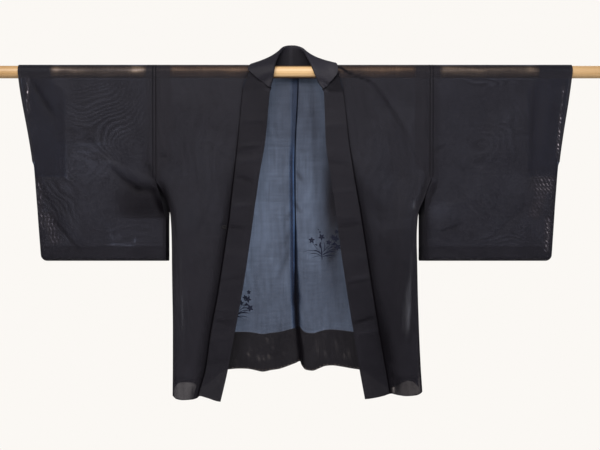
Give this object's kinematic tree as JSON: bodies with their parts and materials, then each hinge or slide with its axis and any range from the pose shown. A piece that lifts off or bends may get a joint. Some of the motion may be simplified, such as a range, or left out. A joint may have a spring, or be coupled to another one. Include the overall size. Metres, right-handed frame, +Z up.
{
  "type": "haori jacket hung on a wooden rod",
  "caption": "Sheer unlined summer haori hung flat on a round wooden rod, with wide square sleeves open at the cuff, side gores and a long collar band turned out at the neck.",
  "frame": {"origin": "the middle of the rod's axis, where the rod is held", "axes": "+X along the rod to the wearer's left, +Y to the back of the jacket, +Z up"},
  "size_m": [1.6, 0.0572, 0.8591],
  "materials": {
    "rod_wood": "bare turned pine, satin",
    "body_cloth": "sheer black summer silk",
    "gore_cloth": "sheer black summer silk",
    "sleeve_cloth": "sheer black summer silk",
    "collar_cloth": "doubled black summer silk",
    "loop_cloth": "rolled black silk"
  },
  "bodies": {
    "root": {"rod": "rod_wood", "body_right": "body_cloth", "body_left": "body_cloth", "gore_right": "gore_cloth", "gore_left": "gore_cloth", "sleeve_right": "sleeve_cloth", "sleeve_left": "sleeve_cloth", "collar": "collar_cloth", "loop_right": "loop_cloth", "loop_left": "loop_cloth"}
  },
  "joints": []
}
